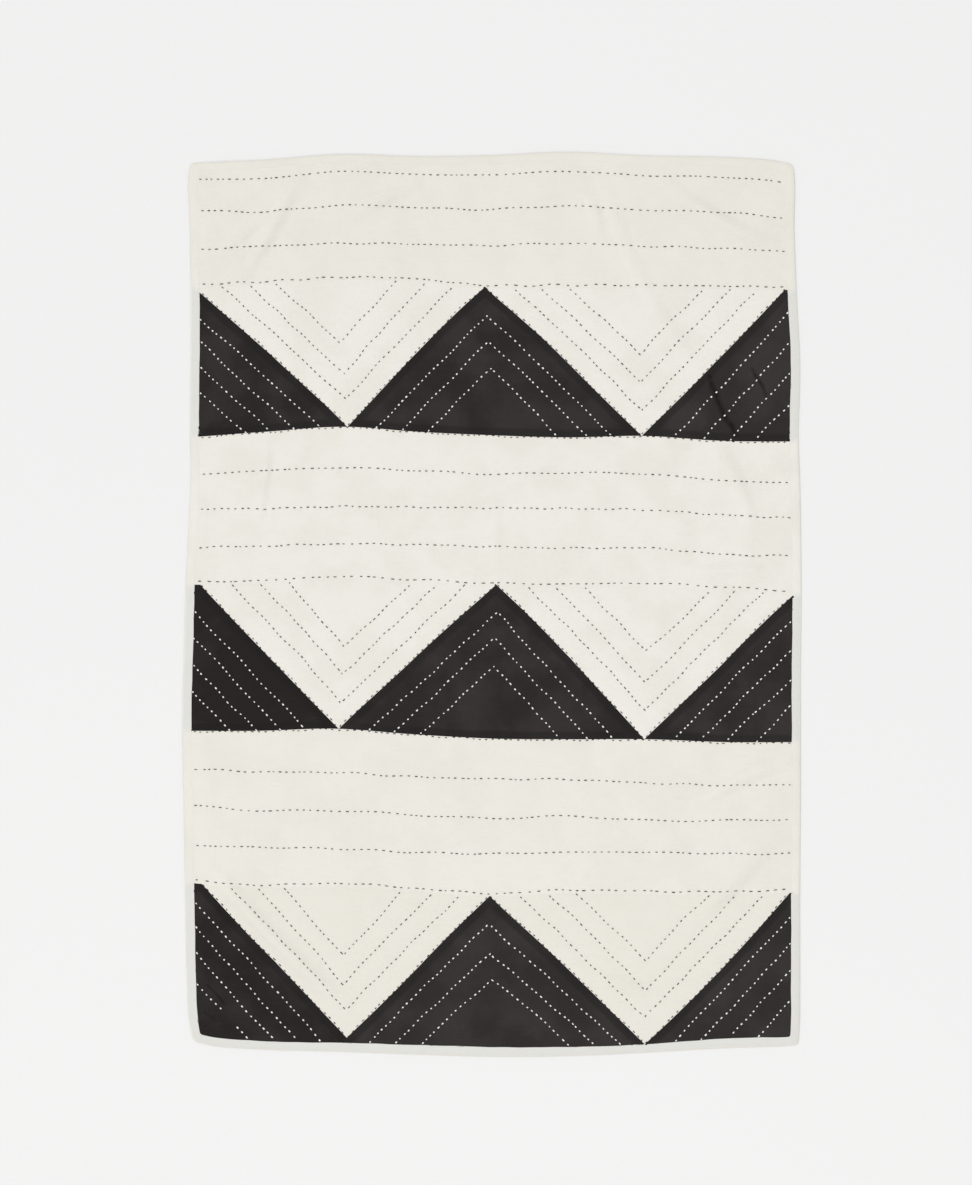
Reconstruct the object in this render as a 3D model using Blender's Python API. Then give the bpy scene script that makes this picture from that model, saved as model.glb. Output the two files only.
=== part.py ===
"""A baby quilt of pieced cloth, lying flat: the filled, sewn-through body and its binding.

Lengths are in millimetres until the meshes are made. The quilt is laid out on the flat cut
cloth first (u across from the left edge, v up from the bottom edge) and then drawn to the
uneven shape in which it lies.
"""

import math

import bmesh
import bpy
import numpy as np
from mathutils import Vector
from mathutils.geometry import delaunay_2d_cdt

for old in list(bpy.data.objects):
    bpy.data.objects.remove(old, do_unlink=True)

# Driving dimensions of the cut cloth.
METRE = 0.001
MERGE = 1e-3
WIDTH = 864.0
LENGTH = 1270.0
BINDING_FACE = 13.0
BLOCK = 215.0
PATCH = (WIDTH - 2 * BINDING_FACE) / 4

# Height of the pieced face above the floor: along the sewing, how much more between the lines,
# how soon it rises there, and at the binding's seam.
GROOVE_TOP = 3.1
CROWN = 2.2
CROWN_REACH = 9.0
EDGE_TOP = 2.7

# The binding's doubled cloth, how far it swells between its fold and its seam, and the gap
# between it and the body.
BINDING_CLOTH = 0.9
BINDING_SWELL = 0.4
CLEARANCE = 0.4

# Corners of the outline, and of the loops inside the binding where the faces begin.
CORNER_RADIUS = 12.0
LOOP_RADIUS = 3.0
TOP_LOOP = 17.0
FLOOR_LOOP = 21.0

# Spacing of the points along the lines of sewing, the crowns between them and the outline.
LINE_STEP = 26.0
CROWN_STEP = 29.0
CROWN_END = 15.0
NEAREST = 7.0
SIDE_STEPS = {"across": 24, "up": 36, "corner": 4}

# Each line across the quilt: its height on the cut cloth, and its height where it lies,
# above the lowest point of the bottom edge, at nine even stations from left to right.
ACROSS = (
    # line, cut height, left, 1/8, 1/4, 3/8, middle, 5/8, 3/4, 7/8, right
    ("bottom edge", 0, 16, 10, 7, 3, 0, 1, 6, 12, 15),
    ("row 3 foot", 13, 30, 22, 20, 17, 14, 14, 18, 26, 28),
    ("row 3 top", 228, 247, 239, 242, 235, 227, 232, 230, 230, 233),
    ("band 3 line 3", 280, 300, 297, 295, 290, 288, 290, 290, 288, 288),
    ("band 3 line 2", 333, 357, 349, 349, 343, 338, 341, 335, 335, 337),
    ("band 3 line 1", 384, 409, 404, 403, 397, 394, 393, 388, 385, 386),
    ("row 2 foot", 443, 462, 462, 465, 457, 451, 450, 450, 446, 446),
    ("row 2 top", 658, 669, 671, 677, 672, 667, 666, 667, 662, 655),
    ("band 2 line 3", 710, 722, 724, 727, 726, 723, 721, 721, 712, 710),
    ("band 2 line 2", 763, 777, 777, 780, 779, 778, 777, 775, 768, 763),
    ("band 2 line 1", 814, 825, 831, 835, 831, 826, 828, 826, 817, 813),
    ("row 1 foot", 873, 878, 886, 893, 886, 881, 878, 880, 873, 872),
    ("row 1 top", 1088, 1090, 1095, 1101, 1099, 1089, 1089, 1089, 1088, 1087),
    ("band 1 line 3", 1140, 1144, 1149, 1153, 1152, 1150, 1153, 1149, 1146, 1141),
    ("band 1 line 2", 1193, 1200, 1198, 1207, 1204, 1201, 1206, 1200, 1197, 1188),
    ("band 1 line 1", 1241, 1244, 1245, 1255, 1251, 1250, 1255, 1249, 1247, 1239),
    ("top edge", 1270, 1268, 1272, 1280, 1277, 1278, 1283, 1278, 1276, 1270),
)

# Each line up the quilt, where it lies: its distance right of the middle, by cut height.
UPWARD = (
    # cut height, left edge, left valley, middle, right valley, right edge
    (0, -429, -208, 2, 214, 437),
    (120, -433, -210, -1, 216, 437),
    (228, -435, -212, -3, 217, 437),
    (384, -438, -214, 0, 216, 438),
    (443, -439, -215, 2, 216, 438),
    (658, -434, -211, 6, 218, 439),
    (763, -429, -208, 4, 216, 438),
    (814, -427, -207, 2, 213, 437),
    (873, -428, -205, -1, 211, 435),
    (980, -427, -205, -7, 211, 437),
    (1088, -427, -206, -11, 211, 432),
    (1193, -429, -207, -8, 211, 429),
    (1241, -431, -208, -7, 211, 430),
    (1270, -429, -208, -5, 211, 429),
)

# Each row of triangles: where the slanting seams of the outer half triangles meet the row's top,
# inward of the binding, and how far the left valley stops above the row's foot.
ROWS = (
    # row, left tip, right tip, left valley lift
    ("row 1", -7, -3, 0),
    ("row 2", 10, -5, 0),
    ("row 3", 11, -4, 8),
)

# Echo lines inside each triangle, outermost first: how far each one lies from the patch's edge at
# its start, at its turn and at its end. A half triangle's line has no turn.
ECHOES = {
    ("row 1", "left half"): ((45, 35), (77, 72), (113, 108), (154, 143)),
    ("row 1", "whole"): ((41, 43, 43), (81, 78, 77), (118, 116, 119)),
    ("row 1", "right half"): ((37, 51), (81, 91), (120, 128), (163, 160)),
    ("row 1", "left valley"): ((36, 40, 38), (74, 77, 77), (108, 120, 119)),
    ("row 1", "right valley"): ((44, 35, 43), (82, 78, 78), (119, 116, 116)),
    ("row 2", "left half"): ((40, 45), (75, 85), (111, 119), (152, 159)),
    ("row 2", "whole"): ((43, 38, 40), (79, 78, 79), (119, 115, 119)),
    ("row 2", "right half"): ((44, 44), (77, 84), (119, 118), (157, 163)),
    ("row 2", "left valley"): ((50, 38, 47), (92, 78, 79), (132, 119, 115)),
    ("row 2", "right valley"): ((44, 41, 36), (81, 81, 77), (125, 125, 114)),
    ("row 3", "left half"): ((26, 28), (71, 67), (101, 98), (144, 137)),
    ("row 3", "whole"): ((35, 41, 43), (75, 82, 71), (113, 120, 109)),
    ("row 3", "right half"): ((36, 45), (77, 85), (113, 122), (157, 160)),
    ("row 3", "left valley"): ((51, 51, 43), (86, 85, 78), (126, 122, 120)),
    ("row 3", "right valley"): ((44, 38, 35), (85, 77, 75), (116, 118, 112)),
}

# Main folds, where they lie: x right of the middle and y above the lowest edge, at both ends,
# how far the crest bows to its left on the way, half its width, and its height.
FOLDS = (
    # x1, y1, x2, y2, bow, half width, height
    (-272, 1240, -350, 1101, 3, 22, 4.0),
    (-321, 1186, -392, 1136, 4, 18, 2.5),
    (-201, 1193, -109, 1238, 0, 24, 2.0),
    (139, 1246, 165, 1144, 4, 20, 2.5),
    (160, 1236, 295, 971, -16, 24, 4.0),
    (245, 1240, 400, 1150, -6, 24, 3.5),
    (-312, 874, -326, 761, 3, 16, 1.8),
    (-45, 782, 111, 867, -5, 24, 2.2),
    (323, 874, 376, 733, 10, 20, 3.5),
    (281, 683, 400, 687, 4, 20, 3.0),
    (231, 721, 217, 506, 10, 20, 2.2),
    (153, 428, 281, 279, -8, 24, 3.5),
    (316, 364, 400, 404, 5, 20, 3.0),
    (400, 305, 295, 201, 5, 26, 3.5),
    (-390, 272, -201, 77, -6, 28, 5.0),
    (125, 116, 238, 81, 4, 20, 2.5),
)
FOLD_POINTS = 9
FOLD_FADE = 30.0
FOLD_END = 0.25

# Colours and roughness of the cloth.
IVORY = (0.80, 0.76, 0.69)
BINDING_IVORY = (0.81, 0.77, 0.70)
COTTON_ROUGHNESS = 0.9

LEFT = BINDING_FACE
RIGHT = WIDTH - BINDING_FACE
COLUMNS = (0.0, LEFT + PATCH, WIDTH / 2, RIGHT - PATCH, WIDTH)
CUT_HEIGHT = {line[0]: line[1] for line in ACROSS}


def smooth_curve(knots, values, at):
    """Reads a table between its knots on a smooth curve, with a column of values for each point."""
    knots = np.asarray(knots, float)
    values = np.broadcast_to(np.asarray(values, float).T, (len(at), len(knots))).T
    slopes = np.gradient(values, knots, axis=0)
    cell = np.clip(np.searchsorted(knots, at) - 1, 0, len(knots) - 2)
    low, high = (cell, np.arange(len(at))), (cell + 1, np.arange(len(at)))
    span = knots[cell + 1] - knots[cell]
    part = (at - knots[cell]) / span
    rest = 1 - part
    start = values[low] * rest**2 * (1 + 2 * part) + slopes[low] * span * part * rest**2
    end = values[high] * part**2 * (3 - 2 * part) - slopes[high] * span * part**2 * rest
    return start + end


def laid(points):
    """Where points of the cut cloth lie: x right of the middle, y above the lowest edge."""
    u, v = np.asarray(points, float).T
    stations = np.linspace(0, WIDTH, len(ACROSS[0]) - 2)
    heights = np.array([smooth_curve(stations, line[2:], u) for line in ACROSS])
    cut = np.array([line[1] for line in ACROSS], float)
    row = np.clip(np.searchsorted(cut, v) - 1, 0, len(cut) - 2)
    part = (v - cut[row]) / (cut[row + 1] - cut[row])
    every = np.arange(len(u))
    y = heights[row, every] * (1 - part) + heights[row + 1, every] * part
    table = np.array(UPWARD, float)
    lines = [smooth_curve(table[:, 0], table[:, column], v) for column in range(1, 6)]
    return np.column_stack((smooth_curve(COLUMNS, lines, u), y))


def distance_to_line(points, start, end):
    """Distance of each point from the straight line between two points."""
    start, end = np.asarray(start, float), np.asarray(end, float)
    along = end - start
    part = np.clip((points - start) @ along / (along @ along), 0, 1)
    return np.hypot(*(points - start - part[:, None] * along).T)


def fold_crest(fold):
    """Points along a fold's crest, where it lies."""
    x1, y1, x2, y2, bow = fold[:5]
    part = np.linspace(0, 1, FOLD_POINTS)[:, None]
    start, end = np.array((x1, y1), float), np.array((x2, y2), float)
    along = (end - start) / np.hypot(*(end - start))
    left = np.array((-along[1], along[0]))
    return start + (end - start) * part + left * bow * 4 * part * (1 - part)


def fold_height(places):
    """How far the folds lift the cloth off the floor at places where it lies."""
    lift = np.zeros(len(places))
    for fold in FOLDS:
        half_width, height = fold[5:]
        crest = fold_crest(fold)
        away = np.min([distance_to_line(places, a, b) for a, b in zip(crest, crest[1:])], axis=0)
        ends = np.minimum(*(np.hypot(*(places - end).T) for end in (crest[0], crest[-1])))
        fade = np.clip(ends / FOLD_FADE, FOLD_END, 1)
        side = np.clip(1 - (away / half_width)**2, 0, 1)
        lift = np.maximum(lift, height * fade * side**2)
    return lift


def row_corners(row, left_tip, right_tip, lift):
    """Corners of a row's slanting seams on the cut cloth, from left to right."""
    foot, top = CUT_HEIGHT[row + " foot"], CUT_HEIGHT[row + " top"]
    left_valley, middle, right_valley = COLUMNS[1:4]
    return ((LEFT + left_tip, top), (left_valley, foot + lift), (middle, top),
            (right_valley, foot), (RIGHT - right_tip, top))


def between(lines, extra):
    """The lines given, and one more halfway between each two and inside the last."""
    steps = [np.array(line, float) for line in lines]
    crowns = [steps[0] / 2]
    crowns += [(a + b) / 2 for a, b in zip(steps, steps[1:])]
    return crowns + [steps[-1] + extra]


def echo_path(row, patch, far):
    """An echo line's corners on the cut cloth, given its distances from the patch's edge."""
    foot, top = CUT_HEIGHT[row + " foot"], CUT_HEIGHT[row + " top"]
    left_valley, middle, right_valley = COLUMNS[1:4]
    if patch == "left half":
        return (LEFT, top - far[0]), (left_valley - far[1], foot)
    if patch == "right half":
        return (RIGHT, top - far[0]), (right_valley + far[1], foot)
    if patch == "whole":
        return (left_valley + far[0], foot), (middle, top - far[1]), (right_valley - far[2], foot)
    if patch == "left valley":
        return (LEFT + far[0], top), (left_valley, foot + far[1]), (middle - far[2], top)
    return (middle + far[0], top), (right_valley, foot + far[1]), (RIGHT - far[2], top)


def sewn_paths():
    """Lines of sewing on the cut cloth: inside the patches, between them, and across the quilt."""
    patches, seams = [], [row_corners(*row) for row in ROWS]
    for (row, patch), lines in ECHOES.items():
        patches += [echo_path(row, patch, far) for far in lines]
    heights = [v for name, v, *_ in ACROSS if name not in ("bottom edge", "row 3 foot", "top edge")]
    return patches, seams, [((LEFT, v), (RIGHT, v)) for v in heights]


def crown_paths():
    """Crowns of the channels between the lines of sewing."""
    heights = [v for name, v, *_ in ACROSS if name not in ("bottom edge", "row 3 foot")]
    crowns = [((LEFT, (a + b) / 2), (RIGHT, (a + b) / 2))
              for a, b in zip(heights, heights[1:]) if b - a < BLOCK / 2]
    for (row, patch), lines in ECHOES.items():
        gap = lines[-1][0] - lines[-2][0]
        crowns += [shortened(echo_path(row, patch, far)) for far in between(lines, gap / 2)]
    return crowns


def shortened(path):
    """A path whose ends stop short of the seams that it runs to."""
    path = [np.array(point, float) for point in path]
    for end, inner in ((0, 1), (-1, -2)):
        away = path[inner] - path[end]
        path[end] = path[end] + away * min(CROWN_END / np.hypot(*away), 0.4)
    return path


def spaced(path, step):
    """Evenly spaced points along a path, its corners among them."""
    points = [np.array(path[0], float)]
    for start, end in zip(path, path[1:]):
        start, end = np.array(start, float), np.array(end, float)
        count = max(1, round(math.dist(start, end) / step))
        points += [start + (end - start) * (k + 1) / count for k in range(count)]
    return points


def loop(inset):
    """The cut cloth's outline drawn in by an inset, counter-clockwise from the lower left.

    Its corners narrow from the outline's radius to the inner loops' radius.
    """
    radius = CORNER_RADIUS + (LOOP_RADIUS - CORNER_RADIUS) * min(inset / TOP_LOOP, 1)
    near, far_u, far_v = inset + radius, WIDTH - inset - radius, LENGTH - inset - radius
    centres = ((far_u, near, -90), (far_u, far_v, 0), (near, far_v, 90), (near, near, 180))
    steps = SIDE_STEPS["corner"]
    arcs = []
    for u, v, turn in centres:
        angles = [math.radians(turn + 90 * k / steps) for k in range(steps + 1)]
        arcs.append([(u + radius * math.cos(a), v + radius * math.sin(a)) for a in angles])
    points = []
    for index, arc in enumerate(arcs):
        start, end = np.array(arcs[index - 1][-1]), np.array(arc[0])
        steps = SIDE_STEPS["across" if index % 2 == 0 else "up"]
        points += [tuple(start + (end - start) * k / steps) for k in range(steps)]
        points += arc[:-1]
    return np.array(points)


def keep_apart(points, taken, spare):
    """Those of the points that lie further than a spare distance from the taken ones."""
    kept, taken = [], list(taken)
    for point in points:
        if np.min(np.hypot(*(np.array(taken) - point).T)) > spare:
            kept.append(point)
            taken.append(point)
    return kept


def triangulate(outline, runs):
    """Triangles inside an outline on the cut cloth, with edges along the runs of points."""
    verts = [Vector(p) for p in outline]
    edges = []
    for run in runs:
        edges += [(len(verts) + k, len(verts) + k + 1) for k in range(len(run) - 1)]
        verts += [Vector(p) for p in run]
    out, _, faces, *_ = delaunay_2d_cdt(verts, edges, [list(range(len(outline)))], 1, MERGE)
    return np.array([tuple(p) for p in out]), faces


def add_points(mesh, cut, heights, centre):
    """Adds points of the cut cloth to a mesh where they lie, at their heights."""
    places = laid(cut) - centre
    return [mesh.verts.new((x * METRE, y * METRE, z * METRE))
            for (x, y), z in zip(places, heights)]


def sweep(mesh, section, centre, closed):
    """Takes a section round the outline, with its faces split into triangles."""
    loops = []
    for inset, height in section:
        cut = loop(inset)
        loops.append(add_points(mesh, cut, np.full(len(cut), height), centre))
    for inner, outer in zip(loops, loops[1:] + loops[:1] if closed else loops[1:]):
        count = len(inner)
        for k in range(count):
            following = (k + 1) % count
            mesh.faces.new((inner[k], outer[k], outer[following]))
            mesh.faces.new((inner[k], outer[following], inner[following]))


def cover(mesh, outline, runs, height, centre):
    """Fills an outline with triangles along the runs, level with its rim at the outline."""
    cut, faces = triangulate(outline, runs)
    rise = height(cut)
    verts = add_points(mesh, cut, rise, centre)
    for face in faces:
        mesh.faces.new([verts[k] for k in face])


def cloth_material(name, colour):
    """Matt cotton in one colour."""
    made = bpy.data.materials.new(name)
    made.use_nodes = True
    shader = made.node_tree.nodes["Principled BSDF"]
    shader.inputs["Base Color"].default_value = (*colour, 1)
    shader.inputs["Roughness"].default_value = COTTON_ROUGHNESS
    shader.inputs["Metallic"].default_value = 0
    return made


def finish(name, mesh, colour):
    """Makes a closed mesh into a named object with its own material."""
    bmesh.ops.remove_doubles(mesh, verts=mesh.verts, dist=1e-6)
    bmesh.ops.recalc_face_normals(mesh, faces=mesh.faces)
    data = bpy.data.meshes.new(name)
    mesh.to_mesh(data)
    mesh.free()
    data.materials.append(cloth_material(name + "_cloth", colour))
    thing = bpy.data.objects.new(name, data)
    bpy.context.scene.collection.objects.link(thing)
    return thing


def quilt_centre():
    """The middle of the box around the laid outline."""
    outline = laid(loop(0))
    return (outline.min(axis=0) + outline.max(axis=0)) / 2


def inside_loop(points, inset):
    """Those of the points that lie well inside a loop."""
    low = inset + NEAREST
    return [p for p in points if low < p[0] < WIDTH - low and low < p[1] < LENGTH - low]


def channel_runs():
    """Runs of points along the lines of sewing and the crowns between them."""
    patches, seams, across = sewn_paths()
    runs = [inside_loop(spaced(path, LINE_STEP), TOP_LOOP) for path in patches + seams]
    runs += [inside_loop(spaced(path, CROWN_STEP), TOP_LOOP) for path in crown_paths()]
    taken = [point for run in runs for point in run]
    lines = [inside_loop(spaced(path, LINE_STEP), TOP_LOOP) for path in across]
    return runs + [keep_apart(line, taken, NEAREST) for line in lines]


def floor_runs():
    """Points of the underside along each fold's crest and both its feet."""
    grid = np.meshgrid(np.arange(0, WIDTH, LINE_STEP / 2), np.arange(0, LENGTH, LINE_STEP / 2))
    cloth = np.column_stack([axis.ravel() for axis in grid])
    where = laid(cloth)
    points = []
    for fold in FOLDS:
        crest = fold_crest(fold)
        along = np.gradient(crest, axis=0)
        left = np.column_stack((-along[:, 1], along[:, 0])) / np.hypot(*along.T)[:, None]
        for side in (0, -fold[5], fold[5]):
            for place in crest + left * side:
                near = np.argmin(np.hypot(*(where - place).T))
                points.append(cloth[near] + place - where[near])
    kept = keep_apart(inside_loop(points, FLOOR_LOOP), [loop(FLOOR_LOOP)[0]], NEAREST)
    return [[point] for point in kept]


def quilted_body(centre):
    """Pieced top, wadding and back sewn through together: one filled solid."""
    patches, seams, across = sewn_paths()
    sewn = [(a, b) for path in patches + seams + across for a, b in zip(path, path[1:])]

    def face_height(cut):
        away = np.min([distance_to_line(cut, a, b) for a, b in sewn], axis=0)
        crown = CROWN * (1 - np.exp(-(away / CROWN_REACH)**2))
        lift = crown + fold_height(laid(cut))
        lift[:len(rim)] = 0
        return GROOVE_TOP + lift

    def back_height(cut):
        lift = fold_height(laid(cut))
        lift[:len(rim)] = 0
        return lift

    rim = loop(TOP_LOOP)
    body_inset = turned_in = BINDING_CLOTH + CLEARANCE
    section = (
        # inset, height: from the face over the edge to the back
        (TOP_LOOP, GROOVE_TOP),
        (BINDING_FACE, EDGE_TOP),
        (BINDING_FACE / 2, EDGE_TOP + BINDING_SWELL),
        (body_inset, EDGE_TOP - BINDING_SWELL),
        (body_inset, turned_in),
        (BINDING_FACE + CLEARANCE, turned_in),
        (FLOOR_LOOP, 0),
    )
    mesh = bmesh.new()
    sweep(mesh, section, centre, closed=False)
    cover(mesh, rim, channel_runs(), face_height, centre)
    cover(mesh, loop(FLOOR_LOOP), floor_runs(), back_height, centre)
    return finish("quilted_body", mesh, IVORY)


def binding(centre):
    """One folded strip of cloth around the edge of the body, above and below it."""
    under = EDGE_TOP + CLEARANCE
    over = under + BINDING_CLOTH
    section = (
        # inset, height: under the back, round the fold, over the face, and back inside
        (BINDING_FACE, 0),
        (1.2, 0),
        (0.2, 0.9),
        (0, 2.4),
        (0.5, over - 2 * BINDING_SWELL),
        (1.8, over - BINDING_SWELL / 2),
        (BINDING_FACE / 2, over + BINDING_SWELL),
        (BINDING_FACE, over),
        (BINDING_FACE, under),
        (BINDING_FACE / 2, under + BINDING_SWELL),
        (BINDING_CLOTH, under - BINDING_SWELL),
        (BINDING_CLOTH, BINDING_CLOTH),
        (BINDING_FACE, BINDING_CLOTH),
    )
    mesh = bmesh.new()
    sweep(mesh, section, centre, closed=True)
    return finish("binding", mesh, BINDING_IVORY)


middle = quilt_centre()
quilted_body(middle)
binding(middle)
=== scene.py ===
import math

import bpy
import numpy as np
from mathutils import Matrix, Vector
from mathutils.geometry import delaunay_2d_cdt


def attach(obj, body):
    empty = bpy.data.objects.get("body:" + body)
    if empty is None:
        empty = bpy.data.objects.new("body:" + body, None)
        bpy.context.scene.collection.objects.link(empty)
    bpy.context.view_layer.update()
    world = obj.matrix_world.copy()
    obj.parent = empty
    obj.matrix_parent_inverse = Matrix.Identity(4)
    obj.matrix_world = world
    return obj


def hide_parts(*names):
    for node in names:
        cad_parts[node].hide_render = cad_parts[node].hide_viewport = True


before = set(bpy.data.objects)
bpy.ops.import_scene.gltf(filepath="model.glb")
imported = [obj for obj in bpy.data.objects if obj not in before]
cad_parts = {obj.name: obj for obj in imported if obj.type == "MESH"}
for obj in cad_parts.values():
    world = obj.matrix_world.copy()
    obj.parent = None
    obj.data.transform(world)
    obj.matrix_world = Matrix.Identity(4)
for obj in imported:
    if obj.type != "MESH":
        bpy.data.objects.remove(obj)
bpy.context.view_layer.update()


# The quilted body: a top pieced from ivory and charcoal cotton, a thin cotton wadding and a plain
# ivory back, basted together and sewn through by hand in bands and in echoes of the triangles.
# It is laid out below as cut cloth in millimetres (u across, v up), then drawn to where it lies.
MM = 0.001
WIDTH = 864.0
LENGTH = 1270.0
BINDING_FACE = 13.0
PATCH = (WIDTH - 2 * BINDING_FACE) / 4
LEFT, RIGHT = BINDING_FACE, WIDTH - BINDING_FACE
COLUMNS = (0.0, LEFT + PATCH, WIDTH / 2, RIGHT - PATCH, WIDTH)

ACROSS = (
    # line, cut height, and where it lies: left, 1/8, 1/4, 3/8, middle, 5/8, 3/4, 7/8, right
    ("bottom edge", 0, 16, 10, 7, 3, 0, 1, 6, 12, 15),
    ("row 3 foot", 13, 30, 22, 20, 17, 14, 14, 18, 26, 28),
    ("row 3 top", 228, 247, 239, 242, 235, 227, 232, 230, 230, 233),
    ("band 3 line 3", 280, 300, 297, 295, 290, 288, 290, 290, 288, 288),
    ("band 3 line 2", 333, 357, 349, 349, 343, 338, 341, 335, 335, 337),
    ("band 3 line 1", 384, 409, 404, 403, 397, 394, 393, 388, 385, 386),
    ("row 2 foot", 443, 462, 462, 465, 457, 451, 450, 450, 446, 446),
    ("row 2 top", 658, 669, 671, 677, 672, 667, 666, 667, 662, 655),
    ("band 2 line 3", 710, 722, 724, 727, 726, 723, 721, 721, 712, 710),
    ("band 2 line 2", 763, 777, 777, 780, 779, 778, 777, 775, 768, 763),
    ("band 2 line 1", 814, 825, 831, 835, 831, 826, 828, 826, 817, 813),
    ("row 1 foot", 873, 878, 886, 893, 886, 881, 878, 880, 873, 872),
    ("row 1 top", 1088, 1090, 1095, 1101, 1099, 1089, 1089, 1089, 1088, 1087),
    ("band 1 line 3", 1140, 1144, 1149, 1153, 1152, 1150, 1153, 1149, 1146, 1141),
    ("band 1 line 2", 1193, 1200, 1198, 1207, 1204, 1201, 1206, 1200, 1197, 1188),
    ("band 1 line 1", 1241, 1244, 1245, 1255, 1251, 1250, 1255, 1249, 1247, 1239),
    ("top edge", 1270, 1268, 1272, 1280, 1277, 1278, 1283, 1278, 1276, 1270),
)
UPWARD = (
    # cut height, then right of the middle: left edge, left valley, middle, right valley, right edge
    (0, -429, -208, 2, 214, 437),
    (120, -433, -210, -1, 216, 437),
    (228, -435, -212, -3, 217, 437),
    (384, -438, -214, 0, 216, 438),
    (443, -439, -215, 2, 216, 438),
    (550, -437, -210, 2, 217, 438),
    (658, -434, -211, 6, 218, 439),
    (763, -429, -208, 4, 216, 438),
    (814, -427, -207, 2, 213, 437),
    (873, -428, -205, -1, 211, 435),
    (980, -427, -210, -3, 211, 437),
    (1088, -427, -206, -10, 211, 432),
    (1193, -429, -207, -8, 211, 429),
    (1241, -431, -208, -7, 211, 430),
    (1270, -429, -208, -5, 211, 429),
)
CUT_HEIGHT = {line[0]: line[1] for line in ACROSS}
CORNER_PULLS = (
    # cut corner, and how far it is drawn right and up from square
    (0, 0, 5, 5), (WIDTH, 0, -2, 1), (0, LENGTH, 1, -1), (WIDTH, LENGTH, -1, -4),
)
PULL_REACH = 26.0


def smooth_curve(knots, values, at):
    """Reads a table between its knots on a smooth curve, with a column of values for each point."""
    knots = np.asarray(knots, float)
    values = np.broadcast_to(np.asarray(values, float).T, (len(at), len(knots))).T
    slopes = np.gradient(values, knots, axis=0)
    cell = np.clip(np.searchsorted(knots, at) - 1, 0, len(knots) - 2)
    low, high = (cell, np.arange(len(at))), (cell + 1, np.arange(len(at)))
    span = knots[cell + 1] - knots[cell]
    part = (at - knots[cell]) / span
    rest = 1 - part
    start = values[low] * rest**2 * (1 + 2 * part) + slopes[low] * span * part * rest**2
    end = values[high] * part**2 * (3 - 2 * part) - slopes[high] * span * part**2 * rest
    return start + end


def laid(points):
    """Where points of the cut cloth lie: x right of the middle, y above the lowest edge."""
    u, v = np.asarray(points, float).T
    stations = np.linspace(0, WIDTH, len(ACROSS[0]) - 2)
    heights = np.array([smooth_curve(stations, line[2:], u) for line in ACROSS])
    cut = np.array([line[1] for line in ACROSS], float)
    row = np.clip(np.searchsorted(cut, v) - 1, 0, len(cut) - 2)
    part = (v - cut[row]) / (cut[row + 1] - cut[row])
    every = np.arange(len(u))
    y = heights[row, every] * (1 - part) + heights[row + 1, every] * part
    table = np.array(UPWARD, float)
    lines = [smooth_curve(table[:, 0], table[:, column], v) for column in range(1, 6)]
    x = smooth_curve(COLUMNS, lines, u)
    for corner_u, corner_v, right, up in CORNER_PULLS:
        near = np.exp(-((u - corner_u)**2 + (v - corner_v)**2) / PULL_REACH**2)
        x, y = x + right * near, y + up * near
    return np.column_stack((x, y))


# Rows of triangles. The tips are where the outer half triangles' slanting seams meet the row's
# top, inward of the binding. Each slanting seam bows out of the charcoal cloth along its length.
ROWS = {
    # row: left tip, left valley's shift and lift, apex's lift, right valley's shift, right tip
    "row 1": (-8, 0, 0, 2.3, 1.5, 4),
    "row 2": (7.5, -2, 0, 2.3, 0, -2.5),
    "row 3": (11, 2.5, 7, 1, 2.5, 1.6),
}
SEAM_BOWS = {
    # row: for the left half, the whole's left and right and the right half, the bow at a quarter,
    # half and three quarters of the seam
    "row 1": ((2.4, 5.3, 3.2), (1.6, 2.8, 3.0), (3.0, 1.7, 0.4), (0.2, 2.2, 1.3)),
    "row 2": ((-0.6, -1.6, -1.7), (1.9, 2.9, 2.1), (4.5, 4.9, 2.0), (-0.8, -1.1, 0.6)),
    "row 3": ((0, 1.5, 0.2), (-2.4, -2.1, -0.2), (0.2, 0, 0.3), (-4.9, -5.9, -3.4)),
}
BOW_POINTS = 6
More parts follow.
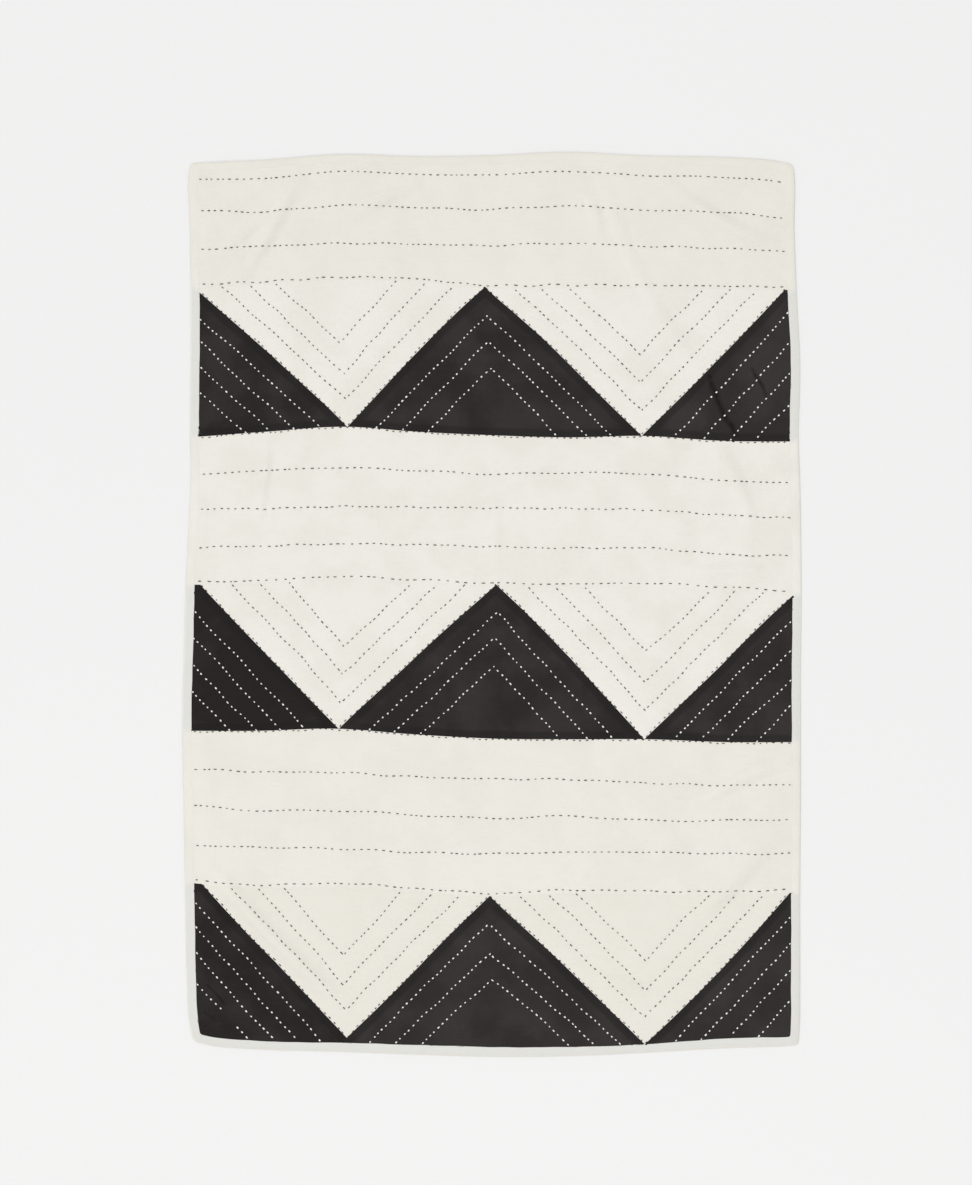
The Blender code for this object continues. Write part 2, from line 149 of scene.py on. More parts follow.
ECHOES = {
    # row and patch: each echo line's distance from the patch's edge at its start, its upward bow,
    # for a line with a turn the turn's distance and shift to the right and the next bow, and the
    # distance at its end
    ("row 1", "left half"): ((45, 3.5, 39), (77, 0, 74), (114, 0, 108), (152, 0, 142)),
    ("row 1", "whole"): ((41, 0, 39, 1, 0, 39), (79, 0, 77, 0, 1, 73), (117, 0, 116, 2, 1, 115)),
    ("row 1", "right half"): ((31, 1, 46), (74, 0.5, 86), (116, 0, 124), (161, 0, 159)),
    ("row 1", "left valley"): ((30, 3, 40, -1, 1, 45), (70, 0, 77, 0, 2.5, 88),
                               (107, 0, 123, -6, 0.5, 134)),
    ("row 1", "right valley"): ((42, 1, 36, 2, 3.5, 44), (77, 0, 78, 0, 2.5, 82),
                                (114, 0, 119, 0, 3.5, 119)),
    ("row 2", "left half"): ((39, -0.5, 48), (77, 0, 83), (117, -1.5, 116), (156, 0, 154)),
    ("row 2", "whole"): ((38, 0, 36, 3, 0, 42), (73, 0, 72, 0, 0, 77), (109, 0, 112, 1, 0, 116)),
    ("row 2", "right half"): ((38, 0.5, 41), (81, 0.5, 78), (124, 0, 113), (161, 0, 159)),
    ("row 2", "left valley"): ((52, 1, 37, -1, 1, 42), (93, 0.5, 78, -1, 0.5, 79),
                               (132, 0, 118, 0, 0, 113)),
    ("row 2", "right valley"): ((43, 3.5, 40, 1, 0.5, 42), (82, 2, 79, 0, -1, 81),
                                (122, 0, 124, 1, -3, 116)),
    ("row 3", "left half"): ((26, 2.5, 32), (60, 0.5, 66), (95, -3, 97), (140, 0, 136)),
    ("row 3", "whole"): ((33, 0, 39, -2, 0, 31), (70, 0, 81, -1, 0.5, 65),
                         (108, 1.5, 119, 0, 4, 102)),
    ("row 3", "right half"): ((34, -0.5, 45), (74, -1.5, 82), (114, 0, 121), (160, 0, 161)),
    ("row 3", "left valley"): ((52, 2, 45, 2, 0, 40), (90, 0.5, 80, -1, 1.5, 78),
                               (126, -0.5, 119, 0, -0.5, 123)),
    ("row 3", "right valley"): ((41, -1.5, 39, 2, -0.5, 37), (79, 1.5, 77, 2, 0, 78),
                                (115, 1, 120, 2, 2, 119)),
}


def bowed(start, end, *bows):
    """Points from a start to an end, drawn up out of the straight line by bows along the way."""
    start, end = np.array(start, float), np.array(end, float)
    part = np.linspace(0, 1, BOW_POINTS + 1)
    along = (end - start) / math.dist(start, end)
    up = np.array((-along[1], along[0])) * math.copysign(1, along[0])
    off = smooth_curve(np.linspace(0, 1, len(bows) + 2), (0, *bows, 0), part)
    return start + (end - start) * part[:, None] + up * off[:, None]


def joined(legs):
    """One run of points from legs that follow one another."""
    return np.concatenate([legs[0][:1]] + [leg[1:] for leg in legs])


def slanting_legs(row):
    """The seams between a row's ivory and charcoal patches, from left to right."""
    left_tip, shift, lift, apex_lift, right_shift, right_tip = ROWS[row]
    foot, top = CUT_HEIGHT[row + " foot"], CUT_HEIGHT[row + " top"]
    corners = ((LEFT + left_tip, top), (COLUMNS[1] + shift, foot + lift),
               (COLUMNS[2], top + apex_lift), (COLUMNS[3] + right_shift, foot),
               (RIGHT - right_tip, top))
    legs = zip(corners, corners[1:], SEAM_BOWS[row])
    return [bowed(start, end, *bows) for start, end, bows in legs]


def echo_path(row, patch, line):
    """An echo line on the cut cloth, given its distances from the patch's edge and its bows."""
    foot, top = CUT_HEIGHT[row + " foot"], CUT_HEIGHT[row + " top"]
    left_valley, middle, right_valley = COLUMNS[1:4]
    if "half" in patch:
        at_side, bow, at_foot = line
        if patch == "left half":
            return bowed((LEFT, top - at_side), (left_valley - at_foot, foot), bow)
        return bowed((RIGHT, top - at_side), (right_valley + at_foot, foot), bow)
    at_start, first_bow, at_turn, shift, next_bow, at_end = line
    if patch == "whole":
        start, turn, end = (left_valley, foot), (middle + shift, top - at_turn), (right_valley, foot)
    elif patch == "left valley":
        start, turn, end = (LEFT, top), (left_valley + shift, foot + at_turn), (middle, top)
    else:
        start, turn, end = (middle, top), (right_valley + shift, foot + at_turn), (RIGHT, top)
    return joined([bowed((start[0] + at_start, start[1]), turn, first_bow),
                   bowed(turn, (end[0] - at_end, end[1]), next_bow)])


# Lines of running stitch. Beside a seam they run on its ivory side.
TOP_STITCHES_ABOVE = 4.0
FOOT_STITCHES_BELOW = 1.1
SLANT_STITCHES_OFF = 1.0
FROM_BINDING = 1.5
STITCHING = {
    # kind of line: a stitch's length and how much it varies, the gap's length and how much it varies
    "band": (3.8, 0.6, 5.8, 1.2),
    "row top": (4.3, 0.8, 6.7, 1.6),
    "seam": (3.4, 0.6, 6.0, 1.2),
    "ivory echo": (3.6, 0.45, 5.1, 0.8),
    "charcoal echo": (3.0, 0.4, 5.6, 0.8),
}
FIRST_STITCH_AT = (0.5, 3.0)
SHORTEST = 2.2
# Near the lower left corner a few stitches lie sunk in a crease and don't show.
SUNK_PLACE, SUNK_REACH = (-372.0, 54.0), 17.0
WAVER = 0.55
WAVER_LENGTHS = (40.0, 130.0)
hand = np.random.default_rng(34)


def sewing_lines():
    """Each line of running stitch on the cut cloth: its kind, and its points."""
    lines = []
    ends = np.array((LEFT + FROM_BINDING, RIGHT - FROM_BINDING))
    for name, height, *_ in ACROSS:
        kind = "band"
        if name.endswith("top"):
            kind, height = "row top", height + TOP_STITCHES_ABOVE
        elif name in ("row 1 foot", "row 2 foot"):
            kind, height = "seam", height - FOOT_STITCHES_BELOW
        elif not name.startswith("band"):
            continue
        lines.append((kind, np.array([(end, height) for end in ends])))
    for row in ROWS:
        for leg in slanting_legs(row):
            u, v = leg.T
            inner = np.clip(u, *ends)
            above = np.interp(inner, u, v) + SLANT_STITCHES_OFF * math.sqrt(2)
            lines.append(("seam", np.column_stack((inner, above))))
    for (row, patch), echoes in ECHOES.items():
        kind = "ivory echo" if "valley" in patch else "charcoal echo"
        lines += [(kind, echo_path(row, patch, line)) for line in echoes]
    return lines


def running_stitches(kind, path):
    """Hand-sewn stitches along a path: distances to their starts and ends, and the line's waver."""
    stitch, stitch_varies, gap, gap_varies = STITCHING[kind]
    length = sum(math.dist(a, b) for a, b in zip(path, path[1:]))
    starts, ends = [], []
    along = hand.uniform(*FIRST_STITCH_AT)
    while along < length - SHORTEST:
        starts.append(along)
        ends.append(min(along + max(hand.normal(stitch, stitch_varies), SHORTEST), length))
        along = ends[-1] + max(hand.normal(gap, gap_varies), SHORTEST)
    waves = hand.uniform(0, 2 * math.pi, 2), hand.uniform(*WAVER_LENGTHS, 2)
    starts, ends = np.array(starts), np.array(ends)
    places = laid(along_path(path, (starts + ends) / 2, waves))
    shows = np.hypot(*(places - SUNK_PLACE).T) > SUNK_REACH
    return starts[shows], ends[shows], waves


def along_path(path, distances, waves):
    """Points at distances along a path, wavering a little to either side as hand sewing does."""
    steps = np.array([math.dist(a, b) for a, b in zip(path, path[1:])])
    reach = np.concatenate(([0], np.cumsum(steps)))
    leg = np.clip(np.searchsorted(reach, distances, side="right") - 1, 0, len(steps) - 1)
    heading = (path[1:] - path[:-1]) / steps[:, None]
    sideways = np.column_stack((-heading[:, 1], heading[:, 0]))
    off = sum(WAVER * np.sin(2 * math.pi * distances / size + phase)
              for phase, size in zip(*waves))
    ahead = heading[leg] * (distances - reach[leg])[:, None]
    return path[leg] + ahead + sideways[leg] * off[:, None]


sewing = [(kind, path, running_stitches(kind, path)) for kind, path in sewing_lines()]
seams = [joined(slanting_legs(row)) for row in ROWS]
straight_seams = [height for name, height in CUT_HEIGHT.items() if name.startswith("row")][1:]


def distance_to_line(points, start, end):
    """How far each point is from the straight line between two points, and how far along."""
    along = end - start
    length = np.hypot(*along)
    part = np.clip((points - start) @ along / length**2, 0, 1)
    return np.hypot(*(points - start - part[:, None] * along).T), part * length


def edge_distance(points):
    """How far inside the cut edge each point is."""
    u, v = points.T
    return np.minimum(np.minimum(u, WIDTH - u), np.minimum(v, LENGTH - v))


def eased(value, low, high):
    """Rises smoothly from 0 at low to 1 at high."""
    part = np.clip((value - low) / (high - low), 0, 1)
    return part * part * (3 - 2 * part)


# Folds of the cloth where it lies, placed and then shifted and given heights until
# they shaded as in the photograph.
FOLDS = (
    # x1, y1, x2, y2, bow to the left, half width, height
    (-278, 1243, -356, 1104, 3, 15, 6.4),
    (-324, 1190, -395, 1140, 4, 9, 4.6),
    (-321, 1146, -375, 1102, -2, 10, 5.0),
    (-201, 1193, -109, 1238, 0, 12, 5.0),
    (129, 1243, 155, 1141, 4, 13, 3.4),
    (160, 1236, 295, 971, -16, 15, 2.8),
    (244, 1238, 399, 1148, -6, 15, 5.4),
    (-317, 875, -331, 762, 3, 7, 3.8),
    (-45, 782, 111, 867, -5, 17, 2.8),
    (315, 871, 368, 730, 10, 15, 3.4),
    (281, 684, 400, 688, 4, 11, 5.2),
    (231, 721, 217, 506, 10, 14, 1.0),
    (153, 428, 281, 279, -8, 17, 1.2),
    (293, 361, 417, 420, 5, 16, 6.5),
    (394, 311, 289, 207, 5, 23, 6.8),
    (-396, 266, -207, 71, -6, 17, 6.4),
    (125, 116, 238, 81, 4, 13, 4.0),
    (4, 874, 3, 456, 3, 11, 1.1),
    (-409, 818, -413, 704, 2, 7, 1.1),
    (392, 874, 401, 825, 1, 8, 1.2),
    (352, 669, 373, 633, -1, 8, 1.2),
)
FOLD_POINTS = 13
FOLD_FADE = 45.0
FOLD_END = 0.25
# Sharp creases across charcoal patches, on the cut cloth, sunk into the face and given painted shade
# in the charcoal's colour.
CREASES = (
    # u1, v1, u2, v2, and how faint it is
    (738, 964, 741, 950, 1.0), (741, 950, 753, 923, 0.0), (753, 923, 759, 908, 0.0),
    (759, 908, 770, 894, 0.0), (770, 894, 775, 882, 0.8),
    (797, 976, 801, 967, 3.0), (801, 967, 812, 951, 2.0), (812, 951, 817, 938, 2.5),
    (29, 86, 41, 75, 3.0), (41, 75, 52, 62, 2.5), (24, 48, 37, 38, 3.5),
)
creases = [(np.array(crease[:2], float), np.array(crease[2:4], float)) for crease in CREASES]
# How deep the creases sink the face and how far, and how far their painted shade reaches in the
# charcoal's colour.
CREASE_DEPTH = 1.1
CREASE_REACH = 3.0
CREASE_SHADE = 8.5


def fold_height(places):
    """How far the folds lift the cloth at places where it lies."""
    lift = np.zeros(len(places))
    for x1, y1, x2, y2, bow, half_width, height in FOLDS:
        start, end = np.array((x1, y1), float), np.array((x2, y2), float)
        middle, length = (start + end) / 2, math.dist(start, end)
        along = (end - start) / length
        left = np.array((-along[1], along[0]))
        near = np.hypot(*(places - middle).T) < length / 2 + half_width
        part = np.linspace(0, 1, FOLD_POINTS)[:, None]
        crest = start + (end - start) * part + left * bow * 4 * part * (1 - part)
        spots = places[near]
        away = np.min([distance_to_line(spots, a, b)[0] for a, b in zip(crest, crest[1:])], axis=0)
        from_end = length / 2 - np.abs((spots - middle) @ along)
        fade = FOLD_END + (1 - FOLD_END) * eased(from_end, 0, FOLD_FADE)
        side = np.clip(1 - (away / half_width)**2, 0, 1)**2
        lift[near] = np.maximum(lift[near], height * fade * side)
    return lift


# Heights of the face in millimetres: along its sewing and on the crowns between, inside the
# binding, the small pull of each stitch on the cloth beside it, the ditch of a seam, the turnings
# beneath the charcoal beside it, and slight crumples all over.
GROOVE_TOP = 3.3
CROWN = 1.4
CROWN_REACH = 12.0
EDGE_TOP = 2.3
EDGE_DROP = 0.92
DROP_FROM, DROP_TO = 1.0, 5.0
RISE_FROM, RISE_TO = BINDING_FACE - 4, BINDING_FACE - 0.6
PUCKER = 0.16
PUCKER_REACH = 5.0
SEAM_DITCH = 0.35
DITCH_REACH = 1.2
TURNINGS = 0.4
TURNINGS_WIDE = 12.5
TURNINGS_SOFT = 2.0
CRUMPLE = 0.09
CRUMPLE_LENGTHS = (16.0, 70.0)
CRUMPLE_COUNT = 14
crumple_waves = np.random.default_rng(7)
CRUMPLES = [(crumple_waves.uniform(0, math.pi), crumple_waves.uniform(*CRUMPLE_LENGTHS),
             crumple_waves.uniform(0, 2 * math.pi)) for _ in range(CRUMPLE_COUNT)]


def is_charcoal(points):
    """Whether points of the cut cloth are on a charcoal patch."""
    u, v = points.T
    dark = np.zeros(len(points), bool)
    for row, seam in zip(ROWS, seams):
        foot = 0 if row == "row 3" else CUT_HEIGHT[row + " foot"]
        dark |= (v > foot) & (v < np.interp(u, *seam.T))
    return dark


def seam_distance(points):
    """How far each point is from the seams at the edges of the charcoal patches."""
    away = [distance_to_line(points, a, b)[0] for seam in seams for a, b in zip(seam, seam[1:])]
    away += [np.abs(points[:, 1] - height) for height in straight_seams]
    return np.min(away, axis=0)


def crease_distance(points):
    """How far each point is from the sharp creases, the faint ones counted as farther."""
    away = [distance_to_line(points, *ends)[0] + crease[4] for ends, crease in zip(creases, CREASES)]
    return np.min(away, axis=0)


def face_height(points):
    """Height of the pieced face at points of the cut cloth, before any thread."""
    inside = edge_distance(points)
    away = np.abs(inside - BINDING_FACE)
    pull = np.zeros(len(points))
    for _, path, (starts, ends, _) in sewing:
        middles = (starts + ends) / 2
        done = 0.0
        for a, b in zip(path, path[1:]):
            off, along = distance_to_line(points, a, b)
            away = np.minimum(away, off)
            near = off < 3 * PUCKER_REACH
            turn = np.interp(done + along[near], middles, np.arange(len(middles)))
            pull[near] += np.cos(2 * math.pi * turn) * np.exp(-(off[near] / PUCKER_REACH)**2)
            done += math.dist(a, b)
    crown = CROWN * (1 - np.exp(-(away / CROWN_REACH)**2))
    from_seam = seam_distance(points)
    ditch = SEAM_DITCH * np.exp(-(from_seam / DITCH_REACH)**2)
    turnings = eased(from_seam, 0, TURNINGS_SOFT)
    turnings -= eased(from_seam, TURNINGS_WIDE - TURNINGS_SOFT, TURNINGS_WIDE)
    places = laid(points)
    crumple = sum(np.sin(2 * math.pi * (places @ (math.cos(turn), math.sin(turn))) / size + phase)
                  for turn, size, phase in CRUMPLES)
    sunk = CREASE_DEPTH * np.exp(-(crease_distance(points) / CREASE_REACH)**2)
    lift = (crown - PUCKER * pull + TURNINGS * turnings * is_charcoal(points) - ditch - sunk
            + CRUMPLE * crumple + fold_height(places))
    rim = EDGE_TOP - EDGE_DROP * (1 - eased(inside, DROP_FROM, DROP_TO))
    return rim + (GROOVE_TOP - EDGE_TOP + lift) * eased(inside, RISE_FROM, RISE_TO)


# The body's edge lies inside the binding, so far in from its fold and so far above its underside.
BINDING_CLOTH = 0.9
CLEARANCE = 0.4
BODY_INSET = BINDING_CLOTH + CLEARANCE
EDGE_DOWN_FROM, EDGE_DOWN_TO = BINDING_FACE + 1, BINDING_FACE + 9
BACK_LIFTS_FROM, BACK_LIFTS_TO = 20.0, 45.0


def back_height(points):
    """Height of the back: on the floor, but for the main folds and the edge inside the binding."""
    inside = edge_distance(points)
    lift = fold_height(laid(points)) * eased(inside, BACK_LIFTS_FROM, BACK_LIFTS_TO)
    return np.maximum(lift, BODY_INSET * (1 - eased(inside, EDGE_DOWN_FROM, EDGE_DOWN_TO)))


CORNER_RADIUS = 7.5
INNER_RADIUS = 2.0
TOP_LOOP = 17.0
CORNER_TURNS = 4


def outline(inset, step):
    """The cut cloth's outline drawn in by an inset, counter-clockwise, its corners rounded."""
    radius = CORNER_RADIUS + (INNER_RADIUS - CORNER_RADIUS) * min(inset / TOP_LOOP, 1)
    near, far_u, far_v = inset + radius, WIDTH - inset - radius, LENGTH - inset - radius
    turns = max(CORNER_TURNS, round(CORNER_RADIUS * math.pi / 2 / step))
    arcs = []
    for u, v, turn in ((far_u, near, -90), (far_u, far_v, 0), (near, far_v, 90), (near, near, 180)):
        angles = np.radians(turn + 90 * np.arange(turns + 1) / turns)
        arcs.append(np.column_stack((u + radius * np.cos(angles), v + radius * np.sin(angles))))
    points = []
    for index, arc in enumerate(arcs):
        start, end = arcs[index - 1][-1], arc[0]
        count = round((WIDTH if index % 2 == 0 else LENGTH) / step)
        points += [start + (end - start) * k / count for k in range(count)]
        points += list(arc[:-1])
    return np.array(points)


RIM_STEP = 4.0
outline_at_rest = laid(outline(0, RIM_STEP))
CENTRE =(outline_at_rest.min(axis=0) + outline_at_rest.max(axis=0)) / 2


def placed(points, heights):
    """Points of the cut cloth in space, in metres, where they lie and at their heights."""
    return np.column_stack((laid(points) - CENTRE, heights)) * MM


# The mesh is closest beside the sewing, where each stitch draws the cloth down. A spare is the
# least distance from a new point to those before it.
RIM_SPARE = 1.0
SEAM_STEP, SEAM_SPARE = 3.0, 0.5
SEAM_END = 3.0
BESIDE_SEWING = (
    # distance off the line, step, spare
    (0, 2.8, 1.6), (2.2, 3.0, 1.8), (5.2, 3.8, 1.8),
)
FACE_RINGS, FACE_RING_SPARE = (6.0, 9.6, 12.4, 15.0), 2.2
OPEN_CLOTH, OPEN_SPARE = 5.4, 3.6
FACE_FROM_RIM = 1.5
BACK_RINGS, BACK_RING_SPARE = (8.0, 14.0, 19.0, 23.0), 3.0
BACK_CLOTH, BACK_SPARE = 11.0, 6.0
BACK_FROM_RIM = 3.0
MERGE = 1e-3


def spaced(path, step):
    """Evenly spaced points along a path, its corners among them."""
    points = [np.array(path[0], float)]
    for start, end in zip(path, path[1:]):
        start, end = np.array(start, float), np.array(end, float)
        count = max(1, round(math.dist(start, end) / step))
        points += [start + (end - start) * (k + 1) / count for k in range(count)]
    return np.array(points)


def beside(path, off, step):
    """Rows of points at a distance on both sides of a path."""
    rows = []
    for start, end in zip(path, path[1:]):
        along = (end - start) / np.hypot(*(end - start))
        left = np.array((-along[1], along[0]))
        count = max(1, round(math.dist(start, end) / step))
        line = start + (end - start) * ((np.arange(count) + 0.5) / count)[:, None]
        rows += [line + left * off, line - left * off] if off else [line]
    return np.concatenate(rows)


def lattice(step):
    """Points all over the cloth in staggered rows."""
    rows = np.arange(step, LENGTH, step * math.sqrt(3) / 2)
    return np.array([(u + (index % 2) * step / 2, v) for index, v in enumerate(rows)
                     for u in np.arange(step, WIDTH - step, step)])


def thinned(groups):
    """Points of the groups in order, leaving out those nearer to an earlier one than they may be."""
    cell_size = max(spare for _, spare in groups)
    cells, kept = {}, []
    for points, spare in groups:
        for point in points:
            column, row = int(point[0] // cell_size), int(point[1] // cell_size)
            close = (cells.get((column + i, row + j), ()) for i in (-1, 0, 1) for j in (-1, 0, 1))
            if all(math.dist(point, other) >= spare for cell in close for other in cell):
                cells.setdefault((column, row), []).append(point)
                kept.append(point)
    return np.array(kept)


def triangulate(rim, runs, points):
    """Triangles inside a rim, with edges along the runs; the rim's points come out first."""
    cut, edges = [rim, points], []
    count = len(rim) + len(points)
    for run in runs:
        edges += [(count + k, count + k + 1) for k in range(len(run) - 1)]
        cut.append(run)
        count += len(run)
    verts = [Vector(point) for point in np.concatenate(cut)]
    out, _, faces, given, *_ = delaunay_2d_cdt(verts, edges, [list(range(len(rim)))], 1, MERGE)
    place = {number: index for index, numbers in enumerate(given) for number in numbers}
    order = [place[k] for k in range(len(rim))]
    order += sorted(set(range(len(out))) - set(order))
    rank = np.empty(len(out), int)
    rank[order] = np.arange(len(out))
    return np.array([tuple(out[k]) for k in order]), rank[np.array(faces)]


def face_cloth():
    """Triangles of the pieced face on the cut cloth, their edges along the seams."""
    rim = outline(BODY_INSET, RIM_STEP)
    runs = [spaced(seam, SEAM_STEP) for seam in seams]
    for height in straight_seams:
        corners = {float(u) for seam in seams for u, v in seam if v == height}
        corners |= {SEAM_END, WIDTH - SEAM_END}
        runs.append(spaced([(u, height) for u in sorted(corners)], SEAM_STEP))
    runs += [spaced(crease, SEAM_STEP) for crease in creases]
    paths = [path for _, path, _ in sewing] + seams + creases
    paths += [[np.array((LEFT, height)), np.array((RIGHT, height))] for height in straight_seams]
    groups = [(rim, RIM_SPARE)] + [(run, SEAM_SPARE) for run in runs]
    for off, step, spare in BESIDE_SEWING:
        groups += [(beside(path, off, step), spare) for path in paths]
    groups += [(outline(inset, RIM_STEP), FACE_RING_SPARE) for inset in FACE_RINGS]
    groups.append((lattice(OPEN_CLOTH), OPEN_SPARE))
    points = thinned(groups)[len(rim):]
    return triangulate(rim, runs, points[edge_distance(points) > BODY_INSET + FACE_FROM_RIM])


def back_cloth():
    """Triangles of the plain back on the cut cloth."""
    rim = outline(BODY_INSET, RIM_STEP)
    groups = [(rim, RIM_SPARE)]
    groups += [(outline(inset, RIM_STEP), BACK_RING_SPARE) for inset in BACK_RINGS]
    groups.append((lattice(BACK_CLOTH), BACK_SPARE))
    points = thinned(groups)[len(rim):]
    return triangulate(rim, [], points[edge_distance(points) > BODY_INSET + BACK_FROM_RIM])


class Wire:
    """A shader socket in Python arithmetic: each operator adds a Math node."""

    def __init__(self, look, socket):
        self.look, self.socket = look, socket

    def math(self, operation, *values):
        return self.look.node("Math", {"operation": operation}, dict(enumerate(values)))

    def __add__(self, other):
        return self.math("ADD", self, other)

    def __sub__(self, other):
        return self.math("SUBTRACT", self, other)

    def __rsub__(self, other):
        return self.math("SUBTRACT", other, self)

    def __mul__(self, other):
        return self.math("MULTIPLY", self, other)

    def __abs__(self):
        return self.math("ABSOLUTE", self)

    def sine(self):
        return self.math("SINE", self)

    def between(self, low, high):
        """Eases from 0 at low to 1 at high."""
        sockets = {0: self, 1: low, 2: high, 3: 0.0, 4: 1.0}
        return self.look.node("MapRange", {"interpolation_type": "SMOOTHSTEP"}, sockets)

    __radd__ = __add__
    __rmul__ = __mul__


class Look:
    """A material being made: nodes that lead to its Principled shader."""

    def __init__(self, name):
        self.material = bpy.data.materials.new(name)
        self.material.use_nodes = True
        self.tree = self.material.node_tree
        self.shader = self.tree.nodes["Principled BSDF"]

    def node(self, kind, settings, sockets, output=0):
        """Adds a node with its settings, then its sockets, and returns one of its outputs."""
        made = self.tree.nodes.new("ShaderNode" + kind)
        for name, value in settings.items():
            setattr(made, name, value)
        for name, value in sockets.items():
            self.feed(made.inputs[name], value)
        return Wire(self, made.outputs[output])

    def feed(self, socket, value):
        """Links a wire to a socket, or sets the socket's own value."""
        if isinstance(value, Wire):
            self.tree.links.new(value.socket, socket)
        else:
            socket.default_value = value

    def shade(self, **sockets):
        """Sets the shader's own sockets, underscores standing for the spaces in their names."""
        for name, value in sockets.items():
            self.feed(self.shader.inputs[name.replace("_", " ")], value)

    def attribute(self, name, output="Fac"):
        """Reads an attribute of the mesh."""
        return self.node("Attribute", {"attribute_name": name}, {}, output)

    def axes(self, vector):
        """Parts a vector into its three coordinates."""
        return [self.node("SeparateXYZ", {}, {0: vector}, axis) for axis in "XYZ"]

    def noise(self, place, scale, detail=2.0, roughness=0.5, stretch=(1, 1, 1)):
        """Noise from 0 to 1 over a place stretched along its axes."""
        moved = self.node("VectorMath", {"operation": "MULTIPLY"}, {0: place, 1: stretch})
        sockets = {"Vector": moved, "Scale": scale, "Detail": detail, "Roughness": roughness}
        return self.node("TexNoise", {}, sockets)

    def mixed(self, factor, first, second):
        """One colour over another by a factor."""
        colours = [(*c, 1) if isinstance(c, tuple) else c for c in (first, second)]
        sockets = {"Factor": factor, 6: colours[0], 7: colours[1]}
        return self.node("Mix", {"data_type": "RGBA"}, sockets, 2)

    def bump(self, height):
        """Relief given in millimetres."""
        return self.node("Bump", {}, {"Height": height, "Distance": MM, "Strength": 1.0})


WEAVE_PITCH = 0.62
SLUB_ALONG, SLUB_THICKNESS = 0.035, 1.9
SLUBS_UP_SHARE = 0.6
BLOTCH_SCALE, WEAR_SCALE, NAP_SCALE = 0.014, 0.05, 0.9
WEAVE_RELIEF, SLUB_RELIEF, NAP_RELIEF = 0.05, 0.10, 0.08
COTTON_ROUGHNESS, WORN_SMOOTHER, SLUBS_ROUGHER = 0.92, 0.06, 0.05
IVORY, IVORY_DULL, IVORY_SLUB = (0.816, 0.795, 0.737), (0.792, 0.768, 0.705), (0.71, 0.67, 0.585)
IVORY_TONED_AND_SHADED = (0.775, 0.748, 0.675)
IVORY_SLUBS_SHOW, IVORY_WEAR_SHOWS = 0.12, 0.06
BACK_SLUBS_SHOW, BACK_BLOTCHES_SHOW = 0.15, 0.2
CHARCOAL, CHARCOAL_WORN = (0.0112, 0.0083, 0.0078), (0.034, 0.0294, 0.0288)
# The charcoal's colour in its creases is painted shade.
CHARCOAL_SEAM, CHARCOAL_CREASE_PAINTED_SHADE = (0.0065, 0.0052, 0.0050), (0.0022, 0.0016, 0.0015)
BLOTCHES_FADE, SLUBS_FADE, WEAR_FADES = 0.45, 0.30, 0.15
TURNINGS_FROM, TURNINGS_TO = TURNINGS_WIDE - 3, TURNINGS_WIDE + 2.5
TURNINGS_DEEPEN = 0.48
UNEVEN_SCALE, UNEVEN_BY, CREASE_UNEVEN = 0.03, 3.0, 0.6
CREASE_CORE = 0.5
PATCHY_SCALE, PATCHY_LEAST = 0.08, 0.6


def cotton(name, paint, slub_strength=1.0, sheen=0.12):
    """Plain-woven cotton: uneven threads both ways, a soft nap, and a colour that paint() gives."""
    look = Look(name)
    place = look.attribute("cut", "Vector")
    u, v, _ = look.axes(place)
    turn = 2 * math.pi / WEAVE_PITCH
    weave = (u * turn).sine() * (v * turn).sine()
    slubs_across = look.noise(place, 1.0, stretch=(SLUB_ALONG, SLUB_THICKNESS, 1)).between(0.52, 0.80)
    slubs_up = look.noise(place, 1.0, stretch=(SLUB_THICKNESS, SLUB_ALONG, 1)).between(0.55, 0.82)
    slubs = (slubs_across + slubs_up * SLUBS_UP_SHARE) * slub_strength
    blotches = look.noise(place, BLOTCH_SCALE, detail=3.0)
    nap = look.noise(place, NAP_SCALE)
    wear = look.noise(place, WEAR_SCALE, detail=3.0, roughness=0.6)
    look.shade(
        Base_Color=paint(look, place, slubs, blotches, wear),
        Roughness=COTTON_ROUGHNESS - WORN_SMOOTHER * wear + SLUBS_ROUGHER * slubs,
        Normal=look.bump(weave * WEAVE_RELIEF + slubs * SLUB_RELIEF + nap * NAP_RELIEF),
        Specular_IOR_Level=0.2, Sheen_Weight=sheen, Sheen_Roughness=0.6,
    )
    return look.material


def ivory_paint(look, place, slubs, blotches, wear):
    """Unbleached ivory, duller in blotches and along its thicker threads, and darker and yellower in
    some bands: partly its own tone, partly painted shade.
    """
    plain = look.mixed(blotches.between(0.42, 0.62), IVORY, IVORY_DULL)
    # Darker and yellower bands: partly the cloth's own tone, partly painted shade.
    toned_and_shaded = look.mixed(look.attribute("shade"), plain, IVORY_TONED_AND_SHADED)
    marked = slubs * IVORY_SLUBS_SHOW + wear.between(0.55, 0.8) * IVORY_WEAR_SHOWS
    return look.mixed(marked, toned_and_shaded, IVORY_SLUB)


